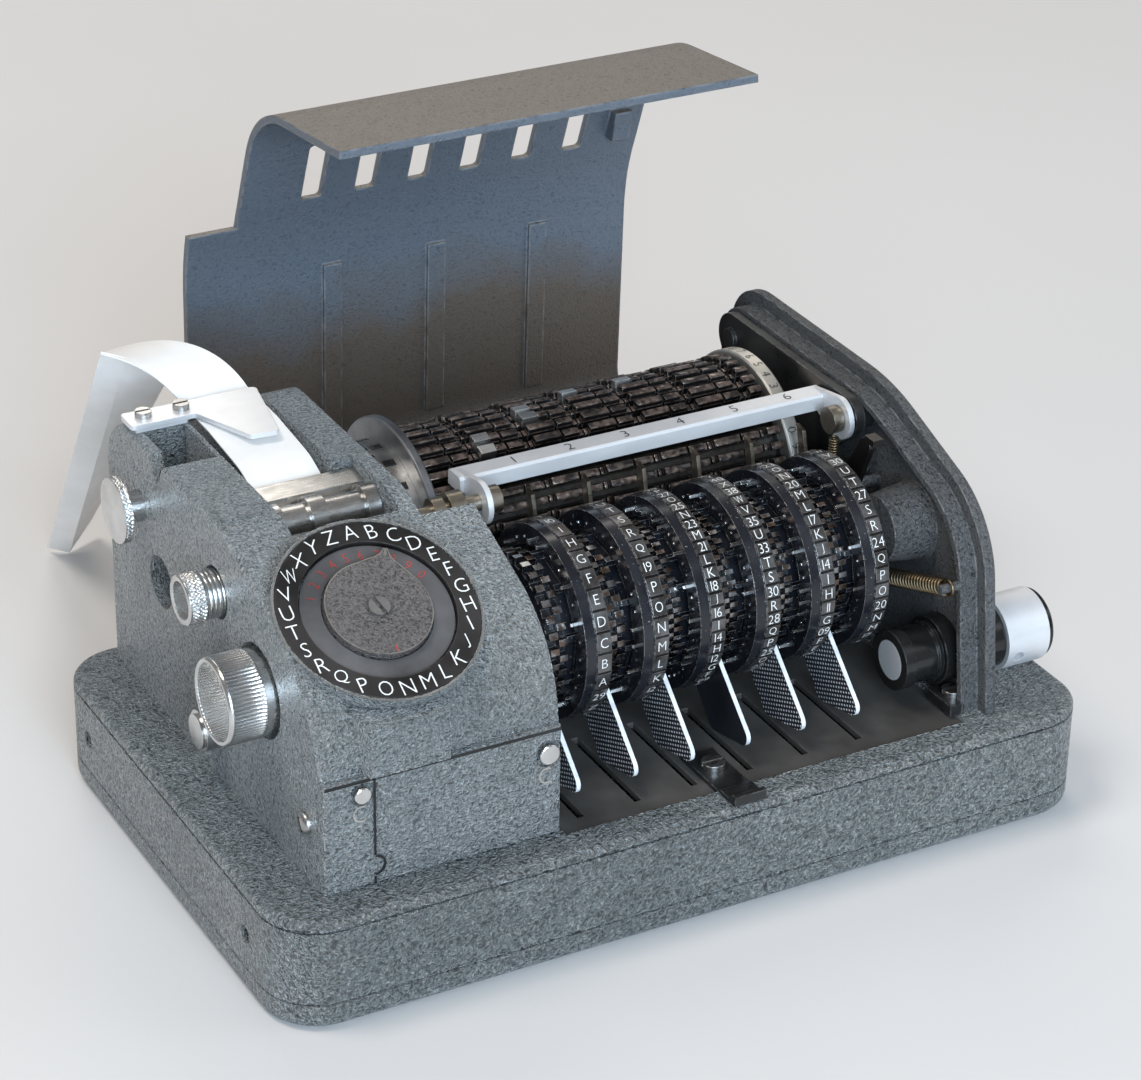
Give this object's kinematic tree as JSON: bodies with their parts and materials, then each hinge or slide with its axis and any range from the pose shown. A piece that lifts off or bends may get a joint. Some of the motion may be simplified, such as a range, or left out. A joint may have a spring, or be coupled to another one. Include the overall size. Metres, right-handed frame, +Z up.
{
  "type": "rotor cipher machine",
  "caption": "Desktop mechanical cipher machine: pin wheels and a slide-bar drum under a hinged lid, letter dial, tape printer, knobs and drive hub on a shallow tray.",
  "frame": {"origin": "centre of the tray's footprint, on the surface the machine stands on", "axes": "+X to the right along the wheel axle, +Y to the back, +Z up; the dial and the wheels face the front"},
  "size_m": [0.216, 0.2385, 0.153],
  "materials": {
    "dark_paint": "hammered dark grey-brown enamel",
    "grey_paint": "fine wrinkled blue-grey enamel",
    "lid_paint": "grey-brown enamel",
    "black_paint": "satin black enamel",
    "dial_black": "black enamel with filled letters",
    "dial_grey": "matt grey with red numbers",
    "steel": "machined steel",
    "dark_steel": "blackened steel, worn",
    "bar_steel": "browned steel, worn bright at the edges",
    "bright_plate": "bright nickel plate",
    "aluminium": "turned aluminium",
    "brass": "aged brass",
    "rubber": "black rubber",
    "paper": "white paper tape"
  },
  "bodies": {
    "chassis": {"tray_lower_pan": "dark_paint", "tray_upper_shell": "dark_paint", "floor_plate": "dark_paint", "latch_strip": "dark_paint", "slotted_screws": "steel", "left_housing": "grey_paint", "front_cover_left": "grey_paint", "front_door": "grey_paint", "tape_cover_plate": "grey_paint", "tape_guide_plate": "aluminium", "tape_bar": "steel", "number_ring": "dial_grey", "right_side_plate": "grey_paint", "drum_bearing_plate": "black_paint", "foot_bracket": "black_paint", "cross_rods": "steel", "pivot_pins": "brass", "lid_hinge": "dark_steel", "coil_springs": "brass", "crank_bearing": "black_paint", "paper_tape": "paper"},
    "lid": {"lid": "lid_paint"},
    "drum": {"drum_cage": "bright_plate", "drum_flange": "steel", "slide_bars": "bar_steel", "bright_lugs": "bright_plate", "index_ring": "bright_plate"},
    "crank": {"crank_hub": "aluminium", "crank_cap": "black_paint", "crank_barrel": "black_paint"},
    "alphabet_ring": {"alphabet_ring": "dial_black"},
    "pointer_disc": {"pointer_disc": "dial_grey"},
    "letter_knob": {"letter_knob": "bright_plate"},
    "type_wheel": {"type_wheel": "steel"},
    "mode_knob": {"mode_knob": "bright_plate"},
    "feed_knob": {"feed_knob": "bright_plate"},
    "tape_feed_roller": {"tape_feed_roller": "rubber"},
    "lock_screw": {"lock_screw": "bright_plate"},
    "button_left": {"button_left": "bright_plate"},
    "button_right": {"button_right": "bright_plate"},
    "number_bar": {"number_bar": "aluminium"},
    "detent_lever": {"detent_lever": "dark_steel"},
    "pin_wheel_1": {"pin_wheel_1": "dark_steel"},
    "separator_1": {"separator_1": "black_paint"},
    "sensing_arm_1": {"sensing_arm_1": "steel"},
    "pin_wheel_2": {"pin_wheel_2": "dark_steel"},
    "separator_2": {"separator_2": "black_paint"},
    "sensing_arm_2": {"sensing_arm_2": "steel"},
    "pin_wheel_3": {"pin_wheel_3": "dark_steel"},
    "separator_3": {"separator_3": "black_paint"},
    "sensing_arm_3": {"sensing_arm_3": "steel"},
    "pin_wheel_4": {"pin_wheel_4": "dark_steel"},
    "separator_4": {"separator_4": "black_paint"},
    "sensing_arm_4": {"sensing_arm_4": "steel"},
    "pin_wheel_5": {"pin_wheel_5": "dark_steel"},
    "separator_5": {"separator_5": "black_paint"},
    "sensing_arm_5": {"sensing_arm_5": "steel"},
    "pin_wheel_6": {"pin_wheel_6": "dark_steel"},
    "separator_6": {"separator_6": "black_paint"},
    "sensing_arm_6": {"sensing_arm_6": "steel"}
  },
  "joints": [
    {"name": "lid_swing", "type": "hinge", "parent": "chassis", "child": "lid", "pos_m": [0, 0.0625, 0.0319], "axis": [1, 0, 0], "range_deg": [0, 88.5]},
    {"name": "pin_wheel_1_turn", "type": "hinge", "parent": "chassis", "child": "pin_wheel_1", "pos_m": [-0.0144, -0.0167, 0.0592], "axis": [1, 0, 0], "continuous": true},
    {"name": "separator_1_swing", "type": "hinge", "parent": "chassis", "child": "separator_1", "pos_m": [-0.02685, -0.0167, 0.0592], "axis": [1, 0, 0], "range_deg": [-5, 0]},
    {"name": "sensing_arm_1_swing", "type": "hinge", "parent": "chassis", "child": "sensing_arm_1", "pos_m": [-0.0087, 0.0092, 0.0385], "axis": [1, 0, 0], "range_deg": [0, 2.5], "stiffness_Nm_per_rad": 0.02, "springref_deg": -3.44},
    {"name": "pin_wheel_2_turn", "type": "hinge", "parent": "chassis", "child": "pin_wheel_2", "pos_m": [0.00075, -0.0167, 0.0592], "axis": [1, 0, 0], "continuous": true},
    {"name": "separator_2_swing", "type": "hinge", "parent": "chassis", "child": "separator_2", "pos_m": [-0.0117, -0.0167, 0.0592], "axis": [1, 0, 0], "range_deg": [-5, 0]},
    {"name": "sensing_arm_2_swing", "type": "hinge", "parent": "chassis", "child": "sensing_arm_2", "pos_m": [0.00645, 0.0092, 0.0385], "axis": [1, 0, 0], "range_deg": [0, 2.5], "stiffness_Nm_per_rad": 0.02, "springref_deg": -3.44},
    {"name": "pin_wheel_3_turn", "type": "hinge", "parent": "chassis", "child": "pin_wheel_3", "pos_m": [0.0159, -0.0167, 0.0592], "axis": [1, 0, 0], "continuous": true},
    {"name": "separator_3_swing", "type": "hinge", "parent": "chassis", "child": "separator_3", "pos_m": [0.00345, -0.0167, 0.0592], "axis": [1, 0, 0], "range_deg": [-5, 0]},
    {"name": "sensing_arm_3_swing", "type": "hinge", "parent": "chassis", "child": "sensing_arm_3", "pos_m": [0.0216, 0.0092, 0.0385], "axis": [1, 0, 0], "range_deg": [0, 2.5], "stiffness_Nm_per_rad": 0.02, "springref_deg": -3.44},
    {"name": "pin_wheel_4_turn", "type": "hinge", "parent": "chassis", "child": "pin_wheel_4", "pos_m": [0.03105, -0.0167, 0.0592], "axis": [1, 0, 0], "continuous": true},
    {"name": "separator_4_swing", "type": "hinge", "parent": "chassis", "child": "separator_4", "pos_m": [0.0186, -0.0167, 0.0592], "axis": [1, 0, 0], "range_deg": [-5, 0]},
    {"name": "sensing_arm_4_swing", "type": "hinge", "parent": "chassis", "child": "sensing_arm_4", "pos_m": [0.03675, 0.0092, 0.0385], "axis": [1, 0, 0], "range_deg": [0, 2.5], "stiffness_Nm_per_rad": 0.02, "springref_deg": -3.44},
    {"name": "pin_wheel_5_turn", "type": "hinge", "parent": "chassis", "child": "pin_wheel_5", "pos_m": [0.0462, -0.0167, 0.0592], "axis": [1, 0, 0], "continuous": true},
    {"name": "separator_5_swing", "type": "hinge", "parent": "chassis", "child": "separator_5", "pos_m": [0.03375, -0.0167, 0.0592], "axis": [1, 0, 0], "range_deg": [-5, 0]},
    {"name": "sensing_arm_5_swing", "type": "hinge", "parent": "chassis", "child": "sensing_arm_5", "pos_m": [0.0519, 0.0092, 0.0385], "axis": [1, 0, 0], "range_deg": [0, 2.5], "stiffness_Nm_per_rad": 0.02, "springref_deg": -3.44},
    {"name": "pin_wheel_6_turn", "type": "hinge", "parent": "chassis", "child": "pin_wheel_6", "pos_m": [0.06135, -0.0167, 0.0592], "axis": [1, 0, 0], "continuous": true},
    {"name": "separator_6_swing", "type": "hinge", "parent": "chassis", "child": "separator_6", "pos_m": [0.0489, -0.0167, 0.0592], "axis": [1, 0, 0], "range_deg": [-5, 0]},
    {"name": "sensing_arm_6_swing", "type": "hinge", "parent": "chassis", "child": "sensing_arm_6", "pos_m": [0.06705, 0.0092, 0.0385], "axis": [1, 0, 0], "range_deg": [0, 2.5], "stiffness_Nm_per_rad": 0.02, "springref_deg": -3.44},
    {"name": "drum_turn", "type": "hinge", "parent": "chassis", "child": "drum", "pos_m": [0.017, 0.0335, 0.0616], "axis": [1, 0, 0], "continuous": true},
    {"name": "crank_turn", "type": "hinge", "parent": "chassis", "child": "crank", "pos_m": [0.095, -0.041, 0.0392], "axis": [1, 0, 0], "continuous": true},
    {"name": "letter_knob_turn", "type": "hinge", "parent": "chassis", "child": "letter_knob", "pos_m": [-0.098, -0.0245, 0.0644], "axis": [1, 0, 0], "continuous": true},
    {"name": "alphabet_ring_turn", "type": "hinge", "parent": "chassis", "child": "alphabet_ring", "pos_m": [-0.0697, -0.036, 0.0851], "axis": [0, -0.4818, 0.8763], "continuous": true},
    {"name": "type_wheel_turn", "type": "hinge", "parent": "chassis", "child": "type_wheel", "pos_m": [-0.066, 0.002, 0.0894], "axis": [1, 0, 0], "continuous": true},
    {"name": "pointer_turn", "type": "hinge", "parent": "chassis", "child": "pointer_disc", "pos_m": [-0.0697, -0.036, 0.0851], "axis": [0, -0.4818, 0.8763], "continuous": true},
    {"name": "mode_knob_turn", "type": "hinge", "parent": "chassis", "child": "mode_knob", "pos_m": [-0.098, -0.0013, 0.078], "axis": [1, 0, 0], "range_deg": [0, 90]},
    {"name": "feed_knob_turn", "type": "hinge", "parent": "chassis", "child": "feed_knob", "pos_m": [-0.098, 0.0429, 0.0795], "axis": [1, 0, 0], "continuous": true},
    {"name": "tape_feed_roller_turn", "type": "hinge", "parent": "chassis", "child": "tape_feed_roller", "pos_m": [-0.066, 0.0086, 0.0822], "axis": [1, 0, 0], "continuous": true},
    {"name": "lock_screw_turn", "type": "hinge", "parent": "chassis", "child": "lock_screw", "pos_m": [-0.096, 0, 0.042], "axis": [1, 0, 0], "range_deg": [-180, 180]},
    {"name": "button_left_press", "type": "slide", "parent": "chassis", "child": "button_left", "axis": [0, 1, 0], "range_m": [0, 0.0015], "stiffness_N_per_m": 250, "springref_m": -0.001},
    {"name": "button_right_press", "type": "slide", "parent": "chassis", "child": "button_right", "axis": [0, 1, 0], "range_m": [0, 0.0015], "stiffness_N_per_m": 250, "springref_m": -0.001},
    {"name": "number_bar_lift", "type": "hinge", "parent": "chassis", "child": "number_bar", "pos_m": [0.02, -0.002, 0.0856], "axis": [1, 0, 0], "range_deg": [0, 6], "stiffness_Nm_per_rad": 0.05, "springref_deg": -3.44},
    {"name": "detent_lever_swing", "type": "hinge", "parent": "chassis", "child": "detent_lever", "pos_m": [0.0713, -0.0085, 0.07], "axis": [1, 0, 0], "range_deg": [0, 2.5], "stiffness_Nm_per_rad": 0.02, "springref_deg": -3.44}
  ],
  "couplings": [
    {"joint": "crank_turn", "follows": "drum_turn", "ratio": 1},
    {"joint": "alphabet_ring_turn", "follows": "letter_knob_turn", "ratio": 1},
    {"joint": "type_wheel_turn", "follows": "letter_knob_turn", "ratio": 1},
    {"joint": "tape_feed_roller_turn", "follows": "feed_knob_turn", "ratio": -1}
  ]
}
